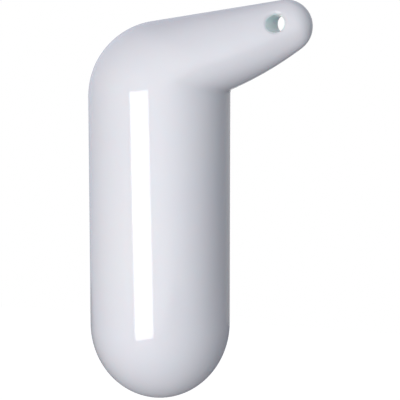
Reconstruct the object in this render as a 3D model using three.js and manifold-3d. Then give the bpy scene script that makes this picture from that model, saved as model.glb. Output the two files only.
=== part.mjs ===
// Dock corner bumper: a hollow fender moulded in glossy white vinyl, shaped like an upside-down L.
// A thick round leg hangs against the dock or hull. At its top a domed elbow turns into a short arm,
// which rises a little, narrows to a rounded tip, and has a rope eye through it from side to side.
// A rubber needle valve closes the filling hole at the foot of the leg.
//
// Millimetres, Z up along the leg, X towards the tip of the arm, Y along the rope eye.
// The origin is the centre of the rope eye, where a line holds the bumper up.

import * as THREE from 'three';
import { mergeVertices, toCreasedNormals } from 'three/addons/utils/BufferGeometryUtils.js';
import Module from 'manifold-3d';

// The leg and the dome at its foot.
const LEG_DIAMETER = 150;
const LEG_BELOW_CORNER = 330;
const FOOT_DOME_HEIGHT = 81;

// The elbow: the large round outside and the tight corner inside.
const ELBOW_RADIUS = 80;
const ELBOW_CENTRE_BELOW_CORNER = 6.5;
const CORNER_RADIUS = 5;

// The arm. Seen from the side its end is a round of the tip radius; seen from above, of the nose radius.
const EYE_FROM_LEG_AXIS = 131;
const EYE_ABOVE_CORNER = 68;
const TIP_RADIUS = 27.2;
const TIP_CENTRE_PAST_EYE = 6;
const TIP_CENTRE_BELOW_EYE = 2.5;
const NOSE_RADIUS = 20;
const UNDERSIDE_RADIUS = 385;

// How far before the corner the cross sections start to turn, and where on the arm they settle.
const TURN_LEAD_ON_LEG = 25;
const TURN_LEAD_ON_ARM = 40;

// The rope eye and the roll of its two mouths.
const EYE_BORE = 18;
const MOUTH_ROLL_RADIUS = 3;

// The needle valve and the pocket it is pressed into.
const VALVE_HEAD_DIAMETER = 14;
const VALVE_HEAD_THICKNESS = 2;
const VALVE_HEAD_BEVEL = 0.5;
const VALVE_NECK_DIAMETER = 8;
const VALVE_NECK_LENGTH = 6;
const VALVE_BARB_DIAMETER = 11;
const VALVE_BARB_LENGTH = 7;
const VALVE_BARB_EDGE = 1;
const VALVE_SUNK_BELOW_FOOT = 1.2;
const VALVE_FIT_CLEARANCE = 0.3;
const POCKET_ROLL_RADIUS = 1.6;
const NEEDLE_HOLE_DIAMETER = 1.8;
const NEEDLE_HOLE_DEPTH = 9;
const NEEDLE_FUNNEL_DIAMETER = 4.4;
const NEEDLE_FUNNEL_DEPTH = 1.3;

// How finely the surfaces are divided.
const POINTS_ROUND_BODY = 56;
const RINGS = { foot: 12, leg: 5, turn: 36, tip: 12 };
const POINTS_ROUND_EYE = 40;
const STEPS_IN_MOUTH_ROLL = 6;
const POINTS_ROUND_VALVE = 32;
const STEPS_IN_POCKET_ROLL = 5;

// How closely touching points are searched for, and how far a roll ends above flat facets.
const HALVINGS = 40;
const TOUCH_PASSES = 12;
const SLOPE_STEP = 0.2;
const ROLL_END_LIFT = 0.05;

// Edges sharper than this, in degrees, stay sharp, and points closer than the distance are one.
const SHARP_EDGE = 35;
const SAME_POINT = 1e-4;

const wasm = await Module();
wasm.setup();

// Places in the middle plane of the bumper, as (X, Z).
const legRadius = LEG_DIAMETER / 2;
const legX = -EYE_FROM_LEG_AXIS;
const corner = new THREE.Vector2(legX + legRadius, -EYE_ABOVE_CORNER);
const footZ = corner.y - LEG_BELOW_CORNER;
const domeCentre = new THREE.Vector2(legX, footZ + FOOT_DOME_HEIGHT);
const elbowCentre = new THREE.Vector2(
	legX - legRadius + ELBOW_RADIUS,
	corner.y - ELBOW_CENTRE_BELOW_CORNER,
);
const tipCentre = new THREE.Vector2(TIP_CENTRE_PAST_EYE, -TIP_CENTRE_BELOW_EYE);

// The slope of a line or arc is that of its tangent, and a round meets it a quarter turn away.
const quarter = Math.PI / 2;

function direction(from, to) {
	return Math.atan2(to.y - from.y, to.x - from.x);
}

function polar(centre, radius, angle) {
	return new THREE.Vector2(Math.cos(angle), Math.sin(angle)).multiplyScalar(radius).add(centre);
}

function arc(centre, radius, from, to, clockwise, height = radius) {
	return new THREE.EllipseCurve(centre.x, centre.y, radius, height, from, to, clockwise);
}

// The top edge of the arm is the line that touches both the elbow and the tip.
const elbowToTip = elbowCentre.distanceTo(tipCentre);
const topSlope = direction(elbowCentre, tipCentre) - Math.asin((ELBOW_RADIUS - TIP_RADIUS) / elbowToTip);
const topNormal = topSlope + quarter;

// The underside is a slightly bulged arc from the corner to the tip, which it touches.
function findUndersideCentre() {
	const span = corner.distanceTo(tipCentre);
	const toTip = UNDERSIDE_RADIUS - TIP_RADIUS;
	const along = (UNDERSIDE_RADIUS ** 2 - toTip ** 2 + span ** 2) / (2 * span);
	const aside = Math.sqrt(UNDERSIDE_RADIUS ** 2 - along ** 2);
	const chord = direction(corner, tipCentre);
	return polar(polar(corner, along, chord), aside, chord + quarter);
}
const undersideCentre = findUndersideCentre();
const undersideEnd = direction(undersideCentre, tipCentre);
const tipAngle = (topNormal + undersideEnd) / 2;

// The corner is rounded by a circle that touches the leg and the underside.
const roundX = corner.x + CORNER_RADIUS;
const roundReach = UNDERSIDE_RADIUS + CORNER_RADIUS;
const roundDrop = Math.sqrt(roundReach ** 2 - (roundX - undersideCentre.x) ** 2);
const roundCentre = new THREE.Vector2(roundX, undersideCentre.y - roundDrop);
const undersideStart = direction(undersideCentre, roundCentre);

// The outline in the middle plane is two rails, an outer and an inner one, in four matching stretches.
const turnZ = roundCentre.y - TURN_LEAD_ON_LEG;
const turnOuter = new THREE.Path();
turnOuter.moveTo(legX - legRadius, turnZ);
turnOuter.absarc(elbowCentre.x, elbowCentre.y, ELBOW_RADIUS, Math.PI, topNormal, true);
turnOuter.lineTo(...polar(tipCentre, TIP_RADIUS, topNormal));
const turnInner = new THREE.Path();
turnInner.moveTo(corner.x, turnZ);
turnInner.absarc(roundCentre.x, roundCentre.y, CORNER_RADIUS, Math.PI, undersideStart + Math.PI, true);
turnInner.absarc(undersideCentre.x, undersideCentre.y, UNDERSIDE_RADIUS, undersideStart, undersideEnd, false);

// Along the turn the outer rail is much the longer, so equal steps there pair with short ones inside.
const outerLength = turnOuter.getLength();
const innerLength = turnInner.getLength();
const turnPairing = new THREE.CubicBezierCurve(
	new THREE.Vector2(0, 0),
	new THREE.Vector2(TURN_LEAD_ON_LEG / innerLength, TURN_LEAD_ON_LEG / outerLength),
	new THREE.Vector2(1 - TURN_LEAD_ON_ARM / innerLength, 1 - TURN_LEAD_ON_ARM / outerLength),
	new THREE.Vector2(1, 1),
);

const footOuter = arc(domeCentre, legRadius, -quarter, Math.PI, true, FOOT_DOME_HEIGHT);
const footInner = arc(domeCentre, legRadius, -quarter, 0, false, FOOT_DOME_HEIGHT);
const legOuter = new THREE.LineCurve(footOuter.getPoint(1), turnOuter.getPoint(0));
const legInner = new THREE.LineCurve(footInner.getPoint(1), turnInner.getPoint(0));
const tipOuter = arc(tipCentre, TIP_RADIUS, topNormal, tipAngle, true);
const tipInner = arc(tipCentre, TIP_RADIUS, undersideEnd, tipAngle, false);

const foot = { rings: RINGS.foot, ends: (t) => [footOuter.getPoint(t), footInner.getPoint(t)], round: true };
const leg = { rings: RINGS.leg, ends: (t) => [legOuter.getPoint(t), legInner.getPoint(t)] };
const turn = { rings: RINGS.turn, ends: turnEnds };
const tip = { rings: RINGS.tip, ends: (t) => [tipOuter.getPoint(t), tipInner.getPoint(t)] };

function turnEnds(t) {
	const pair = turnPairing.getPoint(t);
	return [turnOuter.getPoint(pair.y), turnInner.getPoint(pair.x)];
}

// Seen from above the sections narrow in straight lines, from the leg's full width over its axis to
// the round nose. Each line passes the leg's side and touches the nose.
const noseFromLeg = tipCentre.x + TIP_RADIUS * Math.cos(tipAngle) - NOSE_RADIUS - legX;
const legSideToNose = Math.hypot(noseFromLeg, legRadius);
const sideAngle = Math.atan(legRadius / noseFromLeg) - Math.asin(NOSE_RADIUS / legSideToNose);

function halfWidth(x) {
	const fromLeg = Math.max(x - legX, 0);
	const fromNose = fromLeg - noseFromLeg;
	if (fromNose < NOSE_RADIUS * Math.sin(sideAngle)) {
		return legRadius - fromLeg * Math.tan(sideAngle);
	}
	return Math.sqrt(Math.max(NOSE_RADIUS ** 2 - fromNose ** 2, 0));
}

// A cross section is an ellipse that spans the two rails.
function section(stretch, t) {
	const [outer, inner] = stretch.ends(t);
	const centre = outer.clone().add(inner).multiplyScalar(0.5);
	const reach = outer.clone().sub(centre);
	const width = stretch.round ? reach.length() : halfWidth(centre.x);
	return { centre, reach, width };
}

function sectionRing({ centre, reach, width }) {
	const ring = [];
	for (let i = 0; i < POINTS_ROUND_BODY; i++) {
		const angle = (i / POINTS_ROUND_BODY) * 2 * Math.PI;
		const middle = reach.clone().multiplyScalar(Math.cos(angle)).add(centre);
		ring.push(new THREE.Vector3(middle.x, width * Math.sin(angle), middle.y));
	}
	return ring;
}

// Half the thickness of the arm at a point of the middle plane, from the section through that point.
// Places along the turn run from 0 to 1, and those along the tip follow from 1 to 2.
function halfThickness(x, z) {
	const point = new THREE.Vector2(x, z);
	let low = 0;
	let high = 2;
	let found = section(tip, 0);
	for (let i = 0; i < HALVINGS; i++) {
		const middle = (low + high) / 2;
		found = middle < 1 ? section(turn, middle) : section(tip, middle - 1);
		const ahead = found.reach.cross(point.clone().sub(found.centre)) < 0;
		if (ahead) low = middle;
		else high = middle;
	}
	const share = point.distanceTo(found.centre) / found.reach.length();
	return found.width * Math.sqrt(Math.max(1 - share ** 2, 0));
}

// A closed skin over rings of points, with a single point at each end.
function skin(start, rings, end) {
	const around = rings[0].length;
	const points = [start, ...rings.flat(), end];
	const last = points.length - 1;
	const faces = [];
	for (let i = 0; i < around; i++) {
		const next = (i + 1) % around;
		const lastRing = last - around;
		faces.push(0, 1 + i, 1 + next);
		faces.push(last, lastRing + next, lastRing + i);
		for (let ring = 0; ring < rings.length - 1; ring++) {
			const low = 1 + ring * around;
			const high = low + around;
			faces.push(low + i, high + next, low + next);
			faces.push(low + i, high + i, high + next);
		}
	}
	const geometry = new THREE.BufferGeometry().setFromPoints(points);
	geometry.setIndex(faces);
	return geometry;
}

// Solids for cutting: the shared points of a mesh are merged and triangles without area dropped.
function solid(geometry) {
	const bare = geometry.clone();
	bare.deleteAttribute('normal');
	bare.deleteAttribute('uv');
	const merged = mergeVertices(bare, SAME_POINT);
	const index = merged.index.array;
	const faces = [];
	for (let i = 0; i < index.length; i += 3) {
		const [a, b, c] = index.slice(i, i + 3);
		if (a !== b && b !== c && c !== a) faces.push(a, b, c);
	}
	return new wasm.Manifold(new wasm.Mesh({
		numProp: 3,
		vertProperties: new Float32Array(merged.attributes.position.array),
		triVerts: new Uint32Array(faces),
	}));
}

function toGeometry(manifold) {
	const mesh = manifold.getMesh();
	const geometry = new THREE.BufferGeometry();
	geometry.setAttribute('position', new THREE.BufferAttribute(mesh.vertProperties, 3));
	geometry.setIndex(new THREE.BufferAttribute(mesh.triVerts, 1));
	return toCreasedNormals(geometry, THREE.MathUtils.degToRad(SHARP_EDGE));
}

// The body before anything is cut: a loft of elliptical sections from the foot to the tip.
function makeLoft() {
	const rings = [];
	for (const stretch of [foot, leg, turn, tip]) {
		for (let i = 1; i <= stretch.rings; i++) {
			rings.push(sectionRing(section(stretch, i / stretch.rings)));
		}
	}
	rings.pop();
	const footEnd = new THREE.Vector3(legX, 0, footZ);
	const { x, y } = tipOuter.getPoint(1);
	return skin(footEnd, rings, new THREE.Vector3(x, 0, y));
}

// A rolled edge between the wall of a hole and the surface round it: an arc that touches both.
// The surface is its height at a distance out from the hole's axis, and so is each point of the roll.
function rolledEdge(surface, wall, radius, steps) {
	const rollCentre = wall + radius;
	let touch = rollCentre;
	let tilt = 0;
	for (let i = 0; i < TOUCH_PASSES; i++) {
		const rise = surface(touch + SLOPE_STEP) - surface(touch - SLOPE_STEP);
		tilt = Math.atan2(rise, 2 * SLOPE_STEP);
		touch = rollCentre - radius * Math.sin(tilt);
	}
	const rollHeight = surface(touch) - radius * Math.cos(tilt);
	const start = quarter + tilt;
	const profile = [];
	for (let i = 0; i <= steps; i++) {
		const turned = start + (Math.PI - start) * (i / steps);
		profile.push({
			out: rollCentre + radius * Math.cos(turned),
			height: rollHeight + radius * Math.sin(turned),
		});
	}
	return profile;
}

// The rope eye's space: a straight bore whose two mouths roll out until they touch the arm's surface.
// The surface slopes differently in each direction from the bore, so each direction has its own roll.
function mouthProfile(angle) {
	const surface = (out) => halfThickness(out * Math.cos(angle), out * Math.sin(angle)) + ROLL_END_LIFT;
	return rolledEdge(surface, EYE_BORE / 2, MOUTH_ROLL_RADIUS, STEPS_IN_MOUTH_ROLL);
}

function makeEyeSpace() {
	const clear = legRadius;
	const profiles = [];
	const angles = [];
	for (let i = 0; i < POINTS_ROUND_EYE; i++) {
		const angle = (i / POINTS_ROUND_EYE) * 2 * Math.PI;
		angles.push(angle);
		profiles.push(mouthProfile(angle));
	}
	const ring = (step, side, outside) => profiles.map((profile, i) => {
		const { out, height } = profile[step];
		const y = outside ? clear : height;
		return new THREE.Vector3(out * Math.cos(angles[i]), side * y, out * Math.sin(angles[i]));
	});
	const near = [ring(0, -1, true)];
	const far = [ring(0, 1, true)];
	for (let step = 0; step <= STEPS_IN_MOUTH_ROLL; step++) {
		near.push(ring(step, -1, false));
		far.push(ring(step, 1, false));
	}
	const rings = [...near, ...far.reverse()];
	return skin(new THREE.Vector3(0, -clear, 0), rings, new THREE.Vector3(0, clear, 0));
}

// The valve and its pocket share one profile, as (radius, height above the valve's outer face).
function valveOutline(clearance) {
	const barbStart = VALVE_HEAD_THICKNESS + VALVE_NECK_LENGTH - clearance;
	const barbEnd = barbStart + VALVE_BARB_LENGTH + 2 * clearance;
	const neck = VALVE_NECK_DIAMETER / 2 + clearance;
	const head = VALVE_HEAD_DIAMETER / 2 + clearance;
	const barb = VALVE_BARB_DIAMETER / 2 + clearance;
	return [
		new THREE.Vector2(0, barbEnd),
		new THREE.Vector2(neck, barbEnd),
		new THREE.Vector2(barb, barbStart + VALVE_BARB_EDGE),
		new THREE.Vector2(barb, barbStart),
		new THREE.Vector2(neck, barbStart),
		new THREE.Vector2(neck, VALVE_HEAD_THICKNESS + clearance),
		new THREE.Vector2(head, VALVE_HEAD_THICKNESS + clearance),
	];
}

const valveFaceZ = footZ + VALVE_SUNK_BELOW_FOOT;

function revolve(profile) {
	const upwards = profile.toReversed();
	const geometry = new THREE.LatheGeometry(upwards, POINTS_ROUND_VALVE);
	geometry.rotateX(quarter);
	geometry.translate(legX, 0, valveFaceZ);
	return geometry;
}

// The pocket's edge rolls out until it touches the foot's dome.
function makeValvePocket() {
	const wall = VALVE_HEAD_DIAMETER / 2 + VALVE_FIT_CLEARANCE;
	const dome = (out) => FOOT_DOME_HEIGHT * (Math.sqrt(1 - (out / legRadius) ** 2) - 1);
	const edge = rolledEdge(dome, wall, POCKET_ROLL_RADIUS, STEPS_IN_POCKET_ROLL);
	const roll = edge.map(({ out, height }) => new THREE.Vector2(out, -height - VALVE_SUNK_BELOW_FOOT));
	return revolve([
		...valveOutline(VALVE_FIT_CLEARANCE),
		...roll.toReversed(),
		new THREE.Vector2(edge[0].out, -legRadius),
		new THREE.Vector2(0, -legRadius),
	]);
}

function makeValve() {
	const head = VALVE_HEAD_DIAMETER / 2;
	return revolve([
		...valveOutline(0),
		new THREE.Vector2(head, VALVE_HEAD_BEVEL),
		new THREE.Vector2(head - VALVE_HEAD_BEVEL, 0),
		new THREE.Vector2(NEEDLE_FUNNEL_DIAMETER / 2, 0),
		new THREE.Vector2(NEEDLE_HOLE_DIAMETER / 2, NEEDLE_FUNNEL_DEPTH),
		new THREE.Vector2(NEEDLE_HOLE_DIAMETER / 2, NEEDLE_HOLE_DEPTH),
		new THREE.Vector2(0, NEEDLE_HOLE_DEPTH),
	]);
}

const glossyVinyl = new THREE.MeshStandardMaterial({ color: 0xf1f1f0, roughness: 0.12, metalness: 0 });
const valveRubber = new THREE.MeshStandardMaterial({ color: 0x2b2c2e, roughness: 0.6, metalness: 0 });

const bumper = new THREE.Group();
bumper.name = 'dock_corner_bumper';

const body = solid(makeLoft()).subtract(solid(makeEyeSpace())).subtract(solid(makeValvePocket()));
const bodyMesh = new THREE.Mesh(toGeometry(body), glossyVinyl);
bodyMesh.name = 'bumper_body';
bumper.add(bodyMesh);

const valveMesh = new THREE.Mesh(toGeometry(solid(makeValve())), valveRubber);
valveMesh.name = 'air_valve';
bumper.add(valveMesh);

export default bumper;
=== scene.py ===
"""Dock corner bumper in glossy white vinyl, with its rope eye and its air valve, in a plain studio.

The body is one smooth skin. Two rails run along its middle plane and elliptical sections span them.
The rope eye and the valve's pocket are rolled into the skin with arcs that touch it. Lengths are in
metres. X points to the tip of the arm, Y runs along the rope eye and Z is up along the leg. The
centre of the rope eye is the origin.
"""

import math

import bpy
import numpy as np
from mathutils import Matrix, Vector


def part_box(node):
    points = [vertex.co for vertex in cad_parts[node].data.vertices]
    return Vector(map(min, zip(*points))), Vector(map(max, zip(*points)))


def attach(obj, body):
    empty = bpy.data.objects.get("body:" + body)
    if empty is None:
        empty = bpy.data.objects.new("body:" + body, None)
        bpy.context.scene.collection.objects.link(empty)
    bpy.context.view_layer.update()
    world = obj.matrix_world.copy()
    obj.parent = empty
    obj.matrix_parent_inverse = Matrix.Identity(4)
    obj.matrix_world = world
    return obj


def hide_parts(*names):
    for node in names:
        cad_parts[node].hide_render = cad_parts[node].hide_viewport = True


bl_info = {
    "name": "Dock Corner Bumper",
    "version": (1, 0, 0),
    "blender": (4, 5, 0),
    "location": "View3D > Sidebar > Bumper",
    "description": "Builds a moulded vinyl dock corner bumper, its air valve and a plain studio",
    "category": "Add Mesh",
}

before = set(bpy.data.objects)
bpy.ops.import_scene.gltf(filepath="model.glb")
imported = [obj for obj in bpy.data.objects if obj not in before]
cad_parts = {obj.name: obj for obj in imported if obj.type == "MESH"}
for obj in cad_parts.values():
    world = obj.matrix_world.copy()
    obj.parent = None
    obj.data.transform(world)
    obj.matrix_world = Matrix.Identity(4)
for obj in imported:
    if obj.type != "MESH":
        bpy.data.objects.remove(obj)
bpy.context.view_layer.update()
BODY_LOW, BODY_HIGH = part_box("bumper_body")
VALVE_LOW, VALVE_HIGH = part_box("air_valve")

QUARTER = math.pi / 2
TURN = 2 * math.pi

# Rings of points along each stretch of the body, and points round the valve.
RINGS = {"foot": 56, "leg": 26, "turn": 190, "tip": 30}
VALVE_POINTS_AROUND = 96

# Steps of the skin round the rope eye: outside each mouth, over its roll, and along the bore.
APRON_STEPS = 8
MOUTH_STEPS = 14
BORE_STEPS = 10

# Steps over the pocket's rolled edge and over each small rounding of the valve.
POCKET_STEPS = 10
ROUNDING_STEPS = 6

# The patch of the body's rings that makes way for a mouth: how far it goes past the roll along the
# arm, and how far it goes to the rings' top and bottom, as a share of their reach.
MOUTH_MARGIN = 0.009
MOUTH_SHARE = 0.78

# Where the rounding of the needle hole's funnel ends, as an angle.
FUNNEL_END = -0.8 * math.pi

# How closely a place on the arm, and the point where a roll touches its surface, are searched for.
HALVINGS = 48
TOUCH_PASSES = 16
SLOPE_STEPS = 12

# Patterns of the two finishes: features per metre, and layers of detail.
CLOUDS = (9.0, 3.0)
HAZE = (40.0, 4.0)
WAVES = (30.0, 1.0)
WEAR = (160.0, 2.0)
GRAIN = (900.0, 3.0)

# Most of a pattern's values lie between these two.
PATTERN_LOW = 0.3
PATTERN_HIGH = 0.7

# The haze and the grain vary the roughness of their surfaces between these shares of it.
VINYL_HAZE = (0.7, 1.5)
RUBBER_HAZE = (0.85, 1.2)

# Heights of the vinyl's waves and of the rubber's grain, and how much of the grain shows.
WAVE_HEIGHT = 0.001
GRAIN_HEIGHT = 0.0003
GRAIN_STRENGTH = 0.25

# How the vinyl bends light, and the shares of its reach that red, green and blue light travel.
VINYL_IOR = 1.5
VINYL_SPREAD = (0.5, 0.9, 1.0)

# How many times as pale the rubber is where it is worn.
WORN_RUBBER = 1.6

# Keeps the X and Z of a place and drops its Y.
ACROSS_THE_EYE = (1, 0, 1)

# The studio's own colours and finishes, and the width of the camera's sensor in millimetres.
WHITE = (1, 1, 1, 1)
PANEL_COLOUR = (0.8, 0.8, 0.8, 1)
FLOOR_ROUGHNESS = 0.9
FLOOR_GLOSS = 0.1
SENSOR_WIDTH = 36.0

# Soft lights of the studio: turn from the camera and tilt in degrees, tightness and colour.
LOBES = (
    (0, 0, 4.0, (1.14, 1.10, 1.02)),
    (30, 0, 4.0, (0.12, 0.19, 0.32)),
    (0, 85, 4.0, (0.51, 0.49, 0.58)),
    (-150, 20, 4.0, (0.78, 0.82, 0.95)),
    (150, 5, 12.0, (0.50, 0.49, 0.47)),
)

# Corners of the softbox's panel: upper left and right, then lower right and left, from its back.
SOFTBOX = (
    (-0.755, -1.146, 0.036),
    (-0.099, -1.260, 0.020),
    (0.080, -1.229, -0.599),
    (-0.516, -1.116, -0.672),
)


def length(name, description, default):
    """A length that shows in the sidebar."""
    return bpy.props.FloatProperty(
        name=name,
        description=description,
        default=default,
        min=0.0,
        unit="LENGTH",
        subtype="DISTANCE",
        precision=4,
    )


def colour(name, description, default):
    """A colour that shows in the sidebar."""
    return bpy.props.FloatVectorProperty(
        name=name,
        description=description,
        default=default,
        size=3,
        min=0.0,
        max=1.0,
        subtype="COLOR",
    )


def degrees(name, description, default):
    """An angle, given in degrees, that shows in the sidebar."""
    return bpy.props.FloatProperty(
        name=name,
        description=description,
        default=math.radians(default),
        subtype="ANGLE",
    )


def share(name, description, default):
    """A number from nought to one that shows in the sidebar."""
    return bpy.props.FloatProperty(
        name=name,
        description=description,
        default=default,
        min=0.0,
        max=1.0,
        subtype="FACTOR",
    )


def count(name, description, default):
    """A number of points or rings that shows in the sidebar."""
    return bpy.props.IntProperty(name=name, description=description, default=default, min=4)


class BodyShape(bpy.types.PropertyGroup):
    """Sizes of the moulded body."""

    leg_diameter: length("Leg diameter", "Thickness of the hanging leg", BODY_HIGH.y - BODY_LOW.y)
    foot_dome: length("Foot dome", "Height of the dome at the foot of the leg", 0.081)
    corner_drop: length("Corner below eye", "Height of the eye above the inner corner", 0.068)
    foot_drop: length("Foot below corner", "Length of the leg below the inner corner", 0.330)
    leg_to_eye: length("Leg to eye", "From the axis of the leg to the rope eye", 0.131)
    elbow_radius: length("Elbow radius", "Radius of the outside of the elbow", 0.080)
    elbow_drop: length("Elbow below corner", "Drop of the elbow's centre below the corner", 0.0065)
    corner_radius: length("Corner radius", "Radius of the inner corner", 0.005)
    tip_radius: length("Tip radius", "Radius of the tip seen from the side", 0.0272)
    tip_past_eye: length("Tip past eye", "Tip's centre beyond the eye", 0.006)
    tip_below_eye: length("Tip below eye", "Tip's centre below the eye", 0.0025)
    nose_radius: length("Nose radius", "Radius of the tip seen from above", 0.020)
    underside_radius: length("Underside radius", "Radius of the arm's bulged underside", 0.385)
    lead_on_leg: length("Lead on leg", "Where on the leg the sections start to turn", 0.025)
    lead_on_arm: length("Lead on arm", "Where on the arm the sections settle", 0.040)
    eye_bore: length("Eye bore", "Diameter of the rope eye", 0.018)
    mouth_roll: length("Mouth roll", "Radius of the rolled mouths of the eye", 0.003)
    points_around: count("Points around", "Points in each ring of the skin", 192)


class ValveShape(bpy.types.PropertyGroup):
    """Sizes of the air valve and the pocket that it sits in."""

    head_diameter: length("Head diameter", "Outside of the valve's face", VALVE_HIGH.x - VALVE_LOW.x)
    head_thickness: length("Head thickness", "Thickness of the valve's head", 0.002)
    head_bevel: length("Head bevel", "Rounding of the head's outer edge", 0.0005)
    neck_diameter: length("Neck diameter", "Diameter of the neck behind the head", 0.008)
    neck_length: length("Neck length", "Length of the neck behind the head", 0.006)
    barb_diameter: length("Barb diameter", "Diameter of the barb that holds the valve", 0.011)
    barb_length: length("Barb length", "Length of the barb", 0.007)
    barb_edge: length("Barb edge", "Straight edge at the foot of the barb", 0.001)
    sunk: length("Sunk", "How far the valve's face lies above the foot", VALVE_LOW.z - BODY_LOW.z)
    clearance: length("Clearance", "Gap between the valve and its pocket", 0.0003)
    pocket_roll: length("Pocket roll", "Radius of the pocket's rolled edge", 0.0016)
    hole_diameter: length("Needle hole", "Diameter of the needle hole", 0.0018)
    funnel_diameter: length("Funnel diameter", "Mouth of the needle hole", 0.0044)
    funnel_depth: length("Funnel depth", "Depth of the needle hole's funnel", 0.0013)
    hole_depth: length("Hole depth", "Depth of the needle hole", 0.009)


class Finish(bpy.types.PropertyGroup):
    """Colours and gloss of the two materials."""

    vinyl: colour("Vinyl", "Main colour of the vinyl", (0.86, 0.865, 0.875))
    vinyl_cool: colour("Cool vinyl", "Colour of the thicker, cooler patches", (0.835, 0.845, 0.87))
    # Painted light: the bore's pale teal stands in for light that shines through the rope eye from
    # behind, not for a colour of the vinyl.
    painted_bore_light: colour("Bore vinyl", "Colour of the bare vinyl inside the eye", (0.84, 0.965, 0.955))
    vinyl_depth: share("Vinyl depth", "Share of the light that goes into the vinyl and comes out", 0.2)
    # Inside the eye the subsurface share is raised as well, which brightens the bore's wall along with
    # its painted light.
    bore_depth: share("Bore depth", "That share inside the eye, where the skin is bare", 1.0)
    vinyl_reach: length("Vinyl reach", "How far that light travels inside", 0.020)
    vinyl_rough: share("Vinyl roughness", "Roughness of the glossy skin", 0.045)
    vinyl_bump: share("Vinyl bump", "Height of the skin's faint waviness", 0.02)
    rubber: colour("Rubber", "Colour of the valve", (0.03, 0.031, 0.034))
    rubber_rough: share("Rubber roughness", "Roughness of the valve", 0.5)


class Studio(bpy.types.PropertyGroup):
    """Camera, floor and lights."""

    azimuth: degrees("Azimuth", "Turn of the camera round the bumper", 18.0)
    elevation: degrees("Elevation", "Tilt of the camera above the level", 6.43)
    distance: length("Distance", "From the camera to the point it looks at", 1.255)
    aim: bpy.props.FloatVectorProperty(
        name="Aim",
        description="The point that the camera looks at",
        default=(-0.08594, 0.0, -0.18273),
        subtype="XYZ",
    )
    lens: bpy.props.FloatProperty(
        name="Lens",
        description="Focal length in millimetres",
        default=107.0,
        min=10.0,
    )
    floor_drop: length("Floor drop", "Height of the foot above the floor", 0.60)
    floor_reach: length("Floor reach", "From the eye to each edge of the floor", 3.0)
    backdrop: degrees("Backdrop", "Half the angle that the white backdrop fills behind the bumper", 5.0)
    backdrop_fade: degrees("Backdrop fade", "Angle over which the backdrop fades out at its edge", 8.0)
    softbox_level: bpy.props.FloatProperty(
        name="Softbox level",
        description="Brightness of the softbox's panel",
        default=5.8,
        min=0.0,
    )
    softbox_tint: colour("Softbox tint", "Colour of the softbox's light", (0.98, 0.965, 1.0))
    floor_colour: colour("Floor", "Colour of the floor", (0.4, 0.4, 0.4))
    floor_glow: share("Floor glow", "White that the floor adds to what the camera sees of it", 0.85)


def short_side(longest, other):
    """The second short side of a right triangle, from its longest side and its other short one."""
    return math.sqrt(longest**2 - other**2)


def heading(start, end):
    """The direction from one point of the middle plane to another, as an angle."""
    return math.atan2(end[1] - start[1], end[0] - start[0])


def polar(centre, radius, angle):
    """The point at a distance from a centre, in the direction of an angle."""
    return np.array([centre[0] + radius * math.cos(angle), centre[1] + radius * math.sin(angle)])


def arc(centre, radius, start, end, height=None):
    """A curve from nought to one along an arc, and its length.

    With a height of its own the arc is part of an ellipse, and the length given is the circle's.
    """
    height = radius if height is None else height

    def point(t):
        angle = start + (end - start) * np.asarray(t, float)
        x = centre[0] + radius * np.cos(angle)
        z = centre[1] + height * np.sin(angle)
        return np.stack([x, z], axis=-1)

    return point, radius * abs(end - start)


def line(start, end):
    """A straight curve from nought to one, and its length."""
    start = np.asarray(start, float)
    end = np.asarray(end, float)

    def point(t):
        t = np.asarray(t, float)[..., None]
        return start * (1 - t) + end * t

    return point, float(np.linalg.norm(end - start))


def chain(*curves):
    """Several curves end to end, from nought to one by length, and their whole length."""
    lengths = np.array([size for _, size in curves])
    ends = np.cumsum(lengths)
    starts = ends - lengths

    def point(t):
        along = np.asarray(t, float) * ends[-1]
        found = np.zeros(along.shape + (2,))
        which = np.clip(np.searchsorted(ends, along), 0, len(curves) - 1)
        for i, (curve, size) in enumerate(curves):
            here = which == i
            found[here] = curve((along[here] - starts[i]) / size)
        return found

    return point, float(ends[-1])


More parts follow.
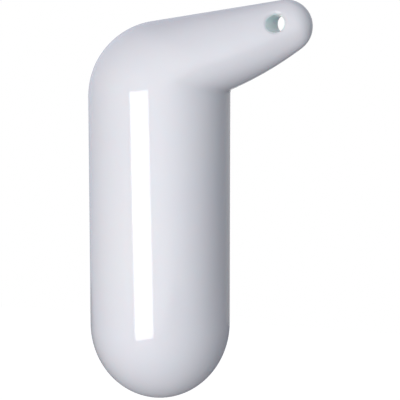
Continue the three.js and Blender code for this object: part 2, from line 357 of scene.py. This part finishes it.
class Skin:
    """The smooth outside of the body, worked out from its sizes."""

    def __init__(self, shape):
        self.leg_radius = shape.leg_diameter / 2
        self.leg_x = -shape.leg_to_eye
        self.foot_dome = shape.foot_dome
        corner = np.array([self.leg_x + self.leg_radius, -shape.corner_drop])
        self.foot_z = corner[1] - shape.foot_drop
        dome = (self.leg_x, self.foot_z + shape.foot_dome)
        elbow = (self.leg_x - self.leg_radius + shape.elbow_radius, corner[1] - shape.elbow_drop)
        tip = (shape.tip_past_eye, -shape.tip_below_eye)

        # The arm's top edge is the line that touches both the elbow and the tip.
        reach = math.dist(elbow, tip)
        top = heading(elbow, tip) - math.asin((shape.elbow_radius - shape.tip_radius) / reach) + QUARTER

        # The arm's underside is a bulged arc from the corner to the tip.
        under = self.underside_centre(corner, tip, shape.underside_radius, shape.tip_radius)
        under_end = heading(under, tip)
        self.tip_angle = (top + under_end) / 2

        # The corner's round touches the leg and the underside.
        round_x = corner[0] + shape.corner_radius
        round_drop = short_side(shape.underside_radius + shape.corner_radius, round_x - under[0])
        corner_round = (round_x, under[1] - round_drop)
        under_start = heading(under, corner_round)

        # The rails of the turn: the elbow with the arm's top outside, the corner with its underside in.
        turn_z = corner_round[1] - shape.lead_on_leg
        left = self.leg_x - self.leg_radius
        outer, outer_length = chain(
            line((left, turn_z), (left, elbow[1])),
            arc(elbow, shape.elbow_radius, math.pi, top),
            line(polar(elbow, shape.elbow_radius, top), polar(tip, shape.tip_radius, top)),
        )
        inner, inner_length = chain(
            line((corner[0], turn_z), (corner[0], corner_round[1])),
            arc(corner_round, shape.corner_radius, math.pi, under_start + math.pi),
            arc(under, shape.underside_radius, under_start, under_end),
        )

        # How far along each rail the sections start to turn, and where they settle.
        lead = np.array([shape.lead_on_leg / inner_length, shape.lead_on_leg / outer_length])
        settle = 1 - np.array([shape.lead_on_arm / inner_length, shape.lead_on_arm / outer_length])

        def turn(t):
            """Points on both rails, paired by a smooth curve: the outer rail is the longer one."""
            t = np.asarray(t, float)[..., None]
            early = 3 * (1 - t) ** 2 * t * lead
            late = 3 * (1 - t) * t**2 * settle
            pair = early + late + t**3
            return outer(pair[..., 1]), inner(pair[..., 0])

        dome_outer, _ = arc(dome, self.leg_radius, -QUARTER, -math.pi, shape.foot_dome)
        dome_inner, _ = arc(dome, self.leg_radius, -QUARTER, 0, shape.foot_dome)
        leg_outer, _ = line((left, dome[1]), (left, turn_z))
        leg_inner, _ = line((corner[0], dome[1]), (corner[0], turn_z))
        tip_outer, _ = arc(tip, shape.tip_radius, top, self.tip_angle)
        tip_inner, _ = arc(tip, shape.tip_radius, under_end, self.tip_angle)
        self.foot = lambda t: (dome_outer(t), dome_inner(t))
        self.leg = lambda t: (leg_outer(t), leg_inner(t))
        self.turn = turn
        self.tip = lambda t: (tip_outer(t), tip_inner(t))
        self.tip_end = polar(tip, shape.tip_radius, self.tip_angle)

        # Seen from above, each side is a line past the leg's side that touches the round nose.
        self.nose_radius = shape.nose_radius
        self.nose_from_leg = self.tip_end[0] - shape.nose_radius - self.leg_x
        to_nose = math.hypot(self.nose_from_leg, self.leg_radius)
        spread = math.atan(self.leg_radius / self.nose_from_leg)
        self.side_angle = spread - math.asin(shape.nose_radius / to_nose)

    @staticmethod
    def underside_centre(corner, tip, radius, tip_radius):
        """The centre of the bulged arc that starts at the corner and ends where it touches the tip."""
        span = math.dist(corner, tip)
        to_tip = radius - tip_radius
        along = (radius**2 - to_tip**2 + span**2) / (2 * span)
        chord = heading(corner, tip)
        foot = polar(corner, along, chord)
        return polar(foot, short_side(radius, along), chord + QUARTER)

    def half_width(self, x):
        """Half the width of the sections at places along X: straight from the leg to the nose."""
        from_leg = np.maximum(x - self.leg_x, 0)
        from_nose = from_leg - self.nose_from_leg
        side = self.leg_radius - from_leg * math.tan(self.side_angle)
        nose = np.sqrt(np.maximum(self.nose_radius**2 - from_nose**2, 0))
        return np.where(from_nose < self.nose_radius * math.sin(self.side_angle), side, nose)

    def section(self, ends, is_round=False):
        """Centre, reach in the middle plane and half width of the sections over two rails."""
        outer, inner = ends
        centre = (outer + inner) / 2
        reach = outer - centre
        if is_round:
            width = np.linalg.norm(reach, axis=-1)
        else:
            width = self.half_width(centre[..., 0])
        return centre, reach, width

    def arm_section(self, places):
        """Sections along the arm: places run to one over the turn and on to two over the tip."""
        over_turn = self.turn(np.clip(places, 0, 1))
        over_tip = self.tip(np.clip(places - 1, 0, 1))
        on_turn = (places < 1)[..., None]
        ends = [np.where(on_turn, a, b) for a, b in zip(over_turn, over_tip)]
        return self.section(ends)

    def arm_place(self, points):
        """Where along the arm points of the middle plane lie, and their share of the reach there."""
        low = np.zeros(len(points))
        high = np.full(len(points), 2.0)
        for _ in range(HALVINGS):
            middle = (low + high) / 2
            centre, reach, _width = self.arm_section(middle)
            away = points - centre
            ahead = reach[:, 0] * away[:, 1] - reach[:, 1] * away[:, 0] < 0
            low = np.where(ahead, middle, low)
            high = np.where(ahead, high, middle)
        centre, reach, width = self.arm_section((low + high) / 2)
        along = np.sum((points - centre) * reach, axis=1) / np.sum(reach**2, axis=1)
        return (low + high) / 2, along, width

    def half_thickness(self, points):
        """Half the arm's thickness, along Y, at points of the middle plane."""
        _place, along, width = self.arm_place(points)
        return width * np.sqrt(np.maximum(1 - along**2, 0))

    def foot_height(self, out):
        """Height of the foot dome's surface above its lowest point, at distances from the axis."""
        return self.foot_dome * (1 - np.sqrt(1 - (out / self.leg_radius) ** 2))


def roll(surface, wall, radius, steps):
    """Arcs that touch a straight wall and a curved surface, as (distance out, height) points.

    surface gives the height at a distance out, for each direction at once.
    """
    centre_out = wall + radius
    touch = centre_out
    step = radius / SLOPE_STEPS
    for _ in range(TOUCH_PASSES):
        slope = (surface(touch + step) - surface(touch - step)) / (2 * step)
        tilt = np.arctan(slope)
        touch = centre_out - radius * np.sin(tilt)
    centre_height = surface(touch) - radius * np.cos(tilt)
    start = QUARTER + tilt
    t = np.linspace(0, 1, steps + 1)[:, None]
    angle = start + (math.pi - start) * t
    return centre_out + radius * np.cos(angle), centre_height + radius * np.sin(angle)


def ring_of(centre, reach, width, angles):
    """Points round one section."""
    x = centre[0] + reach[0] * np.cos(angles)
    z = centre[1] + reach[1] * np.cos(angles)
    return np.stack([x, width * np.sin(angles), z], axis=1)


def quads(rows):
    """Faces between neighbouring closed rows of point numbers."""
    faces = []
    for low, high in zip(rows[:-1], rows[1:]):
        for i in range(len(low)):
            j = (i + 1) % len(low)
            faces.append((low[i], low[j], high[j], high[i]))
    return faces


def make_object(name, points, faces, material):
    """A smooth shaded mesh object of one material."""
    mesh = bpy.data.meshes.new(name)
    mesh.from_pydata([tuple(p) for p in points], [], faces)
    mesh.validate()
    piece = bpy.data.objects.new(name, mesh)
    bpy.context.scene.collection.objects.link(piece)
    mesh.materials.append(material)
    mesh.shade_smooth()
    return piece


class PointList:
    """Points of a mesh, with the number of each."""

    def __init__(self):
        self.parts = []
        self.size = 0

    def add(self, points):
        """Takes a row of points and gives their numbers."""
        points = np.asarray(points, float).reshape(-1, 3)
        numbers = np.arange(self.size, self.size + len(points))
        self.parts.append(points)
        self.size += len(points)
        return numbers

    def all(self):
        """All points in order."""
        return np.concatenate(self.parts)


def body_mesh(shape, valve):
    """Points and faces of the whole body."""
    skin = Skin(shape)
    points = PointList()
    faces = []
    around = shape.points_around
    angles = np.arange(around) / around * TURN

    rows = pocket_rows(points, skin, valve, angles)
    faces += closing(points, rows[0], True)
    faces += quads(rows)
    foot_start = foot_share(skin, valve)
    stretches = [
        (-2, skin.foot, foot_start + (1 - foot_start) * ring_shares("foot"), True),
        (-1, skin.leg, ring_shares("leg"), False),
        (0, skin.turn, ring_shares("turn"), False),
        (1, skin.tip, ring_shares("tip")[:-1], False),
    ]
    grid = []
    places = []
    for start, rails, shares, is_round in stretches:
        centre, reach, width = skin.section(rails(shares), is_round)
        for k in range(len(shares)):
            grid.append(ring_of(centre[k], reach[k], width[k], angles))
            places.append(start + shares[k])
    grid = np.array(grid)
    places = np.array(places)

    used, block = eye_block(skin, shape, places, angles)
    numbers = np.full(grid.shape[:2], -1)
    numbers[used] = points.add(grid[used])
    faces += quads([rows[-1], numbers[0]])
    for i in range(len(grid) - 1):
        for j in range(around):
            k = (j + 1) % around
            if not block[i, j]:
                faces.append((numbers[i, j], numbers[i, k], numbers[i + 1, k], numbers[i + 1, j]))
    end = points.add([skin.tip_end[0], 0, skin.tip_end[1]])[0]
    last = numbers[-1]
    faces += [(last[j], last[(j + 1) % around], end) for j in range(around)]

    loops = block_loops(block, numbers)
    faces += eye_faces(points, skin, shape, loops)
    pointing_out = [face[::-1] for face in faces]
    return points.all(), pointing_out


def ring_shares(name):
    """Even shares along a stretch, from its first ring to its end."""
    return np.arange(1, RINGS[name] + 1) / RINGS[name]


def foot_share(skin, valve):
    """The share of the dome's quarter turn at which the pocket's rolled edge meets it."""
    out, _height = pocket_roll(skin, valve)
    return math.asin(out[0, 0] / skin.leg_radius) / QUARTER


def pocket_roll(skin, valve):
    """The rolled edge of the valve's pocket, in height above the foot, from the dome inwards."""
    wall = valve.head_diameter / 2 + valve.clearance
    out, down = roll(lambda r: -skin.foot_height(r), np.array([wall]), valve.pocket_roll, POCKET_STEPS)
    return out, -down


def valve_outline(valve, clearance):
    """Profile of the valve, or of its pocket with a clearance: (radius, height above the face)."""
    barb_start = valve.head_thickness + valve.neck_length - clearance
    barb_end = barb_start + valve.barb_length + 2 * clearance
    neck = valve.neck_diameter / 2 + clearance
    head = valve.head_diameter / 2 + clearance
    barb = valve.barb_diameter / 2 + clearance
    return [
        (neck, barb_end),
        (barb, barb_start + valve.barb_edge),
        (barb, barb_start),
        (neck, barb_start),
        (neck, valve.head_thickness + clearance),
        (head, valve.head_thickness + clearance),
    ]


def revolved(points, profile, axis_x, base_z, angles):
    """Rings of points that a profile makes when it turns about an upright axis."""
    rows = []
    for radius, rise in profile:
        x = axis_x - radius * np.cos(angles)
        y = radius * np.sin(angles)
        rows.append(points.add(np.stack([x, y, np.full_like(x, base_z + rise)], axis=1)))
    return rows


def pocket_rows(points, skin, valve, angles):
    """Rings of the valve's pocket, from its inner end out to the dome."""
    out, height = pocket_roll(skin, valve)
    profile = [(radius, rise + valve.sunk) for radius, rise in valve_outline(valve, valve.clearance)]
    profile += list(zip(out[::-1, 0], height[::-1, 0]))
    return revolved(points, profile, skin.leg_x, skin.foot_z, angles)


def closing(points, row, flip=False):
    """Faces that close a ring of points with its middle."""
    middle = points.add(points.all()[row].mean(axis=0))[0]
    pairs = zip(row, np.roll(row, -1))
    return [(b, a, middle) if flip else (a, b, middle) for a, b in pairs]


def valve_mesh(shape, valve):
    """Points and faces of the whole valve."""
    points = PointList()
    angles = np.arange(VALVE_POINTS_AROUND) / VALVE_POINTS_AROUND * TURN
    head = valve.head_diameter / 2
    bevel = valve.head_bevel
    funnel = valve.funnel_diameter / 2
    hole = valve.hole_diameter / 2
    profile = valve_outline(valve, 0)
    profile += rounding((head - bevel, bevel), bevel, 0, -QUARTER)
    profile += rounding((funnel + bevel, bevel), bevel, -QUARTER, FUNNEL_END)
    profile += [(hole, valve.funnel_depth), (hole, valve.hole_depth)]
    foot_z = -shape.corner_drop - shape.foot_drop
    rows = revolved(points, profile, -shape.leg_to_eye, foot_z + valve.sunk, angles)
    faces = quads(rows)
    faces += closing(points, rows[0], True) + closing(points, rows[-1])
    return points.all(), faces


def rounding(centre, radius, start, end):
    """A few profile points along a small arc."""
    shares = np.linspace(0, 1, ROUNDING_STEPS + 1)
    return [tuple(polar(centre, radius, start + (end - start) * t)) for t in shares]


def eye_block(skin, shape, places, angles):
    """Which grid points stay, and which cells make way for the two mouths of the eye."""
    half = shape.eye_bore / 2 + shape.mouth_roll + MOUTH_MARGIN
    marks = np.array([[-half, 0.0], [half, 0.0]])
    start, stop = skin.arm_place(marks)[0]
    first = np.searchsorted(places, start) - 1
    last = np.searchsorted(places, stop)
    cells = np.zeros((len(places), len(angles)), bool)
    inside = np.zeros_like(cells)
    edge = math.acos(MOUTH_SHARE)
    step = TURN / len(angles)
    low = round(edge / step)
    high = round((math.pi - edge) / step)
    for shift in (0, len(angles) // 2):
        cells[first:last, low + shift : high + shift] = True
        inside[first + 1 : last, low + shift + 1 : high + shift] = True
    return ~inside, cells


def block_loops(block, numbers):
    """The two loops of grid points round the cells that make way for the eye."""
    around = block.shape[1]
    rows = np.nonzero(block.any(axis=1))[0]
    top, bottom = rows[0], rows[-1] + 1
    loops = []
    for half in (0, 1):
        columns = np.nonzero(block[top])[0]
        columns = columns[(columns >= around // 2) == bool(half)]
        left, right = columns[0], columns[-1] + 1
        loop = [(top, j) for j in range(left, right)]
        loop += [(i, right) for i in range(top, bottom)]
        loop += [(bottom, j) for j in range(right, left, -1)]
        loop += [(i, left) for i in range(bottom, top, -1)]
        loops.append([numbers[i, j % around] for i, j in loop])
    return loops


def eye_faces(points, skin, shape, loops):
    """The apron round each mouth, its roll, and the bore that joins the two."""
    faces = []
    placed = points.all()
    bore_ends = []
    for loop, side in zip(loops, (1, -1)):
        edge = placed[loop]
        flat = edge[:, [0, 2]]
        angle = np.arctan2(flat[:, 1], flat[:, 0])
        ways = np.stack([np.cos(angle), np.sin(angle)], axis=1)
        out, height = roll(
            lambda r: skin.half_thickness(ways * np.broadcast_to(r, angle.shape)[:, None]),
            shape.eye_bore / 2,
            shape.mouth_roll,
            MOUTH_STEPS,
        )
        rows = [np.array(loop)]
        rim = ways * out[0][:, None]
        for k in range(1, APRON_STEPS):
            t = k / APRON_STEPS
            at = flat * (1 - t) + rim * t
            y = side * skin.half_thickness(at)
            rows.append(points.add(np.stack([at[:, 0], y, at[:, 1]], axis=1)))
        for k in range(MOUTH_STEPS + 1):
            at = ways * out[k][:, None]
            rows.append(points.add(np.stack([at[:, 0], side * height[k], at[:, 1]], axis=1)))
        faces += quads(rows)
        bore_ends.append((rows[-1], angle, height[-1]))
    faces += bore_faces(points, shape, bore_ends)
    return faces


def bore_faces(points, shape, bore_ends):
    """The straight wall of the eye between its two rolled mouths."""
    (far, far_angle, far_height), (near, near_angle, _near_height) = bore_ends
    order = [int(np.argmin(np.abs(np.angle(np.exp(1j * (near_angle - a)))))) for a in far_angle]
    near = near[order]
    rows = [far]
    radius = shape.eye_bore / 2
    for k in range(1, BORE_STEPS):
        y = far_height * (1 - 2 * k / BORE_STEPS)
        ring = np.stack([radius * np.cos(far_angle), y, radius * np.sin(far_angle)], axis=1)
        rows.append(points.add(ring))
    rows.append(near)
    return quads(rows)


class Nodes:
    """A short way to add and join the nodes of a material or the world."""

    def __init__(self, tree):
        self.tree = tree

    def add(self, kind, **properties):
        """Adds a node and sets its properties."""
        node = self.tree.nodes.new(kind)
        for name, value in properties.items():
            setattr(node, name, value)
        return node

    def join(self, source, target):
        """Joins an output socket to an input socket."""
        self.tree.links.new(source, target)


def new_material(name):
    """A material with a plain shader joined to its output."""
    material = bpy.data.materials.new(name)
    material.use_nodes = True
    material.node_tree.nodes.clear()
    nodes = Nodes(material.node_tree)
    shader = nodes.add("ShaderNodeBsdfPrincipled")
    output = nodes.add("ShaderNodeOutputMaterial")
    nodes.join(shader.outputs["BSDF"], output.inputs["Surface"])
    return material, nodes, shader


def noise(nodes, place, pattern):
    """A noise pattern in the bumper's own space."""
    scale, detail = pattern
    texture = nodes.add("ShaderNodeTexNoise")
    texture.inputs["Scale"].default_value = scale
    texture.inputs["Detail"].default_value = detail
    nodes.join(place, texture.inputs["Vector"])
    return texture.outputs["Fac"]


def ranged(nodes, value, low, high, start=PATTERN_LOW, stop=PATTERN_HIGH):
    """A value that runs from low to high while the given one runs from start to stop."""
    spread = nodes.add("ShaderNodeMapRange")
    spread.inputs["From Min"].default_value = start
    spread.inputs["From Max"].default_value = stop
    spread.inputs["To Min"].default_value = low
    spread.inputs["To Max"].default_value = high
    nodes.join(value, spread.inputs["Value"])
    return spread.outputs["Result"]


def mixed(nodes, factor, first, second):
    """A colour between two others, each a plain colour or an output."""
    mix = nodes.add("ShaderNodeMix", data_type="RGBA")
    nodes.join(factor, mix.inputs["Factor"])
    for name, part in (("A", first), ("B", second)):
        if isinstance(part, bpy.types.NodeSocket):
            nodes.join(part, mix.inputs[name])
        else:
            mix.inputs[name].default_value = (*part, 1)
    return mix.outputs["Result"]


def near_eye(nodes, place, shape):
    """One inside the rope eye, fading to nought on its rolled mouths: where the bore's wall gets its
    painted light.
    """
    flat = nodes.add("ShaderNodeVectorMath", operation="MULTIPLY")
    nodes.join(place, flat.inputs[0])
    flat.inputs[1].default_value = ACROSS_THE_EYE
    away = nodes.add("ShaderNodeVectorMath", operation="LENGTH")
    nodes.join(flat.outputs["Vector"], away.inputs[0])
    wall = shape.eye_bore / 2
    return ranged(nodes, away.outputs["Value"], 1.0, 0.0, wall, wall + shape.mouth_roll / 2)


def glossy_vinyl(finish, shape):
    """Smooth white vinyl with a mirror gloss, faint cloudiness, a trace of waviness, and a painted pale
    teal light on the wall of the rope eye.
    """
    material, nodes, shader = new_material("glossy_white_vinyl")
    place = nodes.add("ShaderNodeTexCoord").outputs["Object"]
    clouds = ranged(nodes, noise(nodes, place, CLOUDS), 0.0, 1.0)
    skin = mixed(nodes, clouds, finish.vinyl, finish.vinyl_cool)
    # Painted light: the bore's wall is coloured paler and teal, as if lit through the eye from behind.
    backlit = near_eye(nodes, place, shape)
    nodes.join(mixed(nodes, backlit, skin, finish.painted_bore_light), shader.inputs["Base Color"])
    depth = ranged(nodes, backlit, finish.vinyl_depth, finish.bore_depth, 0.0, 1.0)
    nodes.join(depth, shader.inputs["Subsurface Weight"])
    low, high = (finish.vinyl_rough * part for part in VINYL_HAZE)
    nodes.join(ranged(nodes, noise(nodes, place, HAZE), low, high), shader.inputs["Roughness"])
    raise_bumps(nodes, shader, noise(nodes, place, WAVES), finish.vinyl_bump, WAVE_HEIGHT)
    shader.inputs["IOR"].default_value = VINYL_IOR
    shader.inputs["Subsurface Scale"].default_value = finish.vinyl_reach
    shader.inputs["Subsurface Radius"].default_value = VINYL_SPREAD
    return material


def raise_bumps(nodes, shader, pattern, strength, height):
    """Raises a surface by a pattern."""
    bump = nodes.add("ShaderNodeBump")
    bump.inputs["Strength"].default_value = strength
    bump.inputs["Distance"].default_value = height
    nodes.join(pattern, bump.inputs["Height"])
    nodes.join(bump.outputs["Normal"], shader.inputs["Normal"])


def valve_rubber(finish):
    """Matt black rubber with a fine moulded grain."""
    material, nodes, shader = new_material("black_valve_rubber")
    place = nodes.add("ShaderNodeTexCoord").outputs["Object"]
    grain = noise(nodes, place, GRAIN)
    pale = tuple(WORN_RUBBER * part for part in finish.rubber)
    wear = ranged(nodes, noise(nodes, place, WEAR), 0.0, 1.0)
    nodes.join(mixed(nodes, wear, finish.rubber, pale), shader.inputs["Base Color"])
    low, high = (finish.rubber_rough * part for part in RUBBER_HAZE)
    nodes.join(ranged(nodes, grain, low, high), shader.inputs["Roughness"])
    raise_bumps(nodes, shader, grain, GRAIN_STRENGTH, GRAIN_HEIGHT)
    return material


class BUMPER_OT_body(bpy.types.Operator):
    """Build the moulded body with its rope eye."""

    bl_idname = "bumper.body"
    bl_label = "Body"

    def execute(self, context):
        scene = context.scene
        points, faces = body_mesh(scene.bumper_shape, scene.bumper_valve)
        material = glossy_vinyl(scene.bumper_finish, scene.bumper_shape)
        piece = make_object("vinyl_body", points, faces, material)
        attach(piece, "root")
        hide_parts("bumper_body")
        return {"FINISHED"}


class BUMPER_OT_valve(bpy.types.Operator):
    """Build the rubber needle valve in the foot."""

    bl_idname = "bumper.valve"
    bl_label = "Air valve"

    def execute(self, context):
        scene = context.scene
        points, faces = valve_mesh(scene.bumper_shape, scene.bumper_valve)
        piece = make_object("needle_valve", points, faces, valve_rubber(scene.bumper_finish))
        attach(piece, "root")
        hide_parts("air_valve")
        return {"FINISHED"}


def white_sheet(studio):
    """The floor's pale finish, which shows white and still takes light and shadow."""
    material, nodes, shader = new_material("pale_floor")
    shader.inputs["Base Color"].default_value = (*studio.floor_colour, 1)
    shader.inputs["Roughness"].default_value = FLOOR_ROUGHNESS
    shader.inputs["Specular IOR Level"].default_value = FLOOR_GLOSS
    place = nodes.add("ShaderNodeNewGeometry").outputs["Position"]
    away = nodes.add("ShaderNodeVectorMath", operation="SUBTRACT")
    nodes.join(place, away.inputs[0])
    away.inputs[1].default_value = studio.aim
    way = nodes.add("ShaderNodeVectorMath", operation="NORMALIZE")
    nodes.join(away.outputs["Vector"], way.inputs[0])
    glow = nodes.add("ShaderNodeMath", operation="MULTIPLY")
    glow.inputs[1].default_value = studio.floor_glow
    nodes.join(white_share(nodes, way.outputs["Vector"], studio), glow.inputs[0])
    shader.inputs["Emission Color"].default_value = WHITE
    nodes.join(glow.outputs["Value"], shader.inputs["Emission Strength"])
    return material


def add_floor(studio):
    """A wide pale floor well below the hanging bumper."""
    half = studio.floor_reach
    z = BODY_LOW.z - studio.floor_drop
    corners = [(-half, -half, z), (half, -half, z), (half, half, z), (-half, half, z)]
    floor = make_object("floor", corners, [(0, 1, 2, 3)], white_sheet(studio))


def lobe(nodes, way, towards, tightness, tint):
    """Soft light from one direction, which fades evenly all round it and faster when it is tight."""
    match = nodes.add("ShaderNodeVectorMath", operation="DOT_PRODUCT")
    nodes.join(way, match.inputs[0])
    match.inputs[1].default_value = towards
    fade = nodes.add("ShaderNodeMath", operation="MULTIPLY_ADD")
    nodes.join(match.outputs["Value"], fade.inputs[0])
    fade.inputs[1].default_value = tightness
    fade.inputs[2].default_value = -tightness
    power = nodes.add("ShaderNodeMath", operation="EXPONENT")
    nodes.join(fade.outputs["Value"], power.inputs[0])
    light = nodes.add("ShaderNodeVectorMath", operation="SCALE")
    light.inputs[0].default_value = tint
    nodes.join(power.outputs["Value"], light.inputs["Scale"])
    return light.outputs["Vector"]


def add_world(studio):
    """Soft light from the studio's walls and ceiling, with a white backdrop behind the bumper."""
    world = bpy.data.worlds.new("studio")
    bpy.context.scene.world = world
    world.use_nodes = True
    world.node_tree.nodes.clear()
    nodes = Nodes(world.node_tree)
    way = nodes.add("ShaderNodeTexCoord").outputs["Generated"]
    total = nodes.add("ShaderNodeCombineXYZ").outputs["Vector"]
    for turn, tilt, tightness, tint in LOBES:
        towards = direction(studio.azimuth + math.radians(turn), math.radians(tilt))
        plus = nodes.add("ShaderNodeVectorMath", operation="ADD")
        nodes.join(total, plus.inputs[0])
        nodes.join(lobe(nodes, way, towards, tightness, tint), plus.inputs[1])
        total = plus.outputs["Vector"]
    soft = nodes.add("ShaderNodeBackground")
    nodes.join(total, soft.inputs["Color"])
    white = nodes.add("ShaderNodeBackground")
    white.inputs["Color"].default_value = WHITE
    mix = nodes.add("ShaderNodeMixShader")
    nodes.join(white_share(nodes, way, studio), mix.inputs["Fac"])
    nodes.join(soft.outputs["Background"], mix.inputs[1])
    nodes.join(white.outputs["Background"], mix.inputs[2])
    output = nodes.add("ShaderNodeOutputWorld")
    nodes.join(mix.outputs["Shader"], output.inputs["Surface"])


def combined(nodes, operation, first, second):
    """Two values put together by an operation of the maths node."""
    both = nodes.add("ShaderNodeMath", operation=operation)
    nodes.join(first, both.inputs[0])
    nodes.join(second, both.inputs[1])
    return both.outputs["Value"]


def white_share(nodes, way, studio):
    """How white the surroundings show to a ray that goes this way.

    The camera sees white all round. Gloss and see-through parts show the white backdrop that hangs
    behind the bumper and fades at its edge. The rays that light things see none of it.
    """
    ray = nodes.add("ShaderNodeLightPath")
    match = nodes.add("ShaderNodeVectorMath", operation="DOT_PRODUCT")
    nodes.join(way, match.inputs[0])
    match.inputs[1].default_value = direction(studio.azimuth + math.pi, -studio.elevation)
    edge = math.cos(studio.backdrop + studio.backdrop_fade)
    inside = ranged(nodes, match.outputs["Value"], 0.0, 1.0, edge, math.cos(studio.backdrop))
    glossy = ray.outputs["Is Glossy Ray"]
    mirrored = combined(nodes, "MAXIMUM", glossy, ray.outputs["Is Transmission Ray"])
    behind = combined(nodes, "MULTIPLY", inside, mirrored)
    return combined(nodes, "MAXIMUM", behind, ray.outputs["Is Camera Ray"])


def direction(azimuth, elevation):
    """The way towards an azimuth, which turns from -Y towards X, and an elevation."""
    level = math.cos(elevation)
    return Vector((math.sin(azimuth) * level, -math.cos(azimuth) * level, math.sin(elevation)))


def add_camera(studio):
    """The camera at the photograph's angle, upright and turned to the point that it looks at."""
    data = bpy.data.cameras.new("camera")
    data.sensor_width = SENSOR_WIDTH
    data.lens = studio.lens
    camera = bpy.data.objects.new("camera", data)
    target = Vector(studio.aim)
    camera.location = target + direction(studio.azimuth, studio.elevation) * studio.distance
    way = target - camera.location
    camera.rotation_euler = way.to_track_quat("-Z", "Y").to_euler()
    bpy.context.scene.collection.objects.link(camera)
    bpy.context.scene.camera = camera


def add_softbox(studio):
    """The softbox's panel, whose mirror image is the bright strip down the leg."""
    material, nodes, shader = new_material("softbox_front")
    shader.inputs["Base Color"].default_value = PANEL_COLOUR
    shader.inputs["Emission Color"].default_value = (*studio.softbox_tint, 1)
    shader.inputs["Emission Strength"].default_value = studio.softbox_level
    panel = make_object("softbox", SOFTBOX, [(0, 1, 2, 3)], material)
    panel.visible_camera = False


class BUMPER_OT_studio(bpy.types.Operator):
    """Set up the floor, the lights and the camera."""

    bl_idname = "bumper.studio"
    bl_label = "Studio"

    def execute(self, context):
        scene = context.scene
        studio = scene.bumper_studio
        scene.view_settings.view_transform = "Standard"
        add_world(studio)
        add_floor(studio)
        add_camera(studio)
        add_softbox(studio)
        return {"FINISHED"}


class BUMPER_PT_panel(bpy.types.Panel):
    """Sizes, finishes and studio of the bumper."""

    bl_label = "Dock corner bumper"
    bl_space_type = "VIEW_3D"
    bl_region_type = "UI"
    bl_category = "Bumper"

    def draw(self, context):
        scene = context.scene
        for group in (scene.bumper_shape, scene.bumper_valve, scene.bumper_finish, scene.bumper_studio):
            box = self.layout.box()
            for name in group.__annotations__:
                box.prop(group, name)
        for operator in OPERATORS:
            self.layout.operator(operator.bl_idname)


GROUPS = {
    "bumper_shape": BodyShape,
    "bumper_valve": ValveShape,
    "bumper_finish": Finish,
    "bumper_studio": Studio,
}
OPERATORS = (BUMPER_OT_body, BUMPER_OT_valve, BUMPER_OT_studio)


def register():
    """Registers the classes and hangs the settings on the scene."""
    for kind in (*GROUPS.values(), *OPERATORS, BUMPER_PT_panel):
        bpy.utils.register_class(kind)
    for name, kind in GROUPS.items():
        setattr(bpy.types.Scene, name, bpy.props.PointerProperty(type=kind))


def unregister():
    """Takes the settings and the classes away again."""
    for name in GROUPS:
        delattr(bpy.types.Scene, name)
    for kind in reversed((*GROUPS.values(), *OPERATORS, BUMPER_PT_panel)):
        bpy.utils.unregister_class(kind)


def main():
    """Builds the bumper and its studio."""
    register()
    bpy.ops.bumper.body()
    bpy.ops.bumper.valve()
    bpy.ops.bumper.studio()


if __name__ == "__main__":
    main()
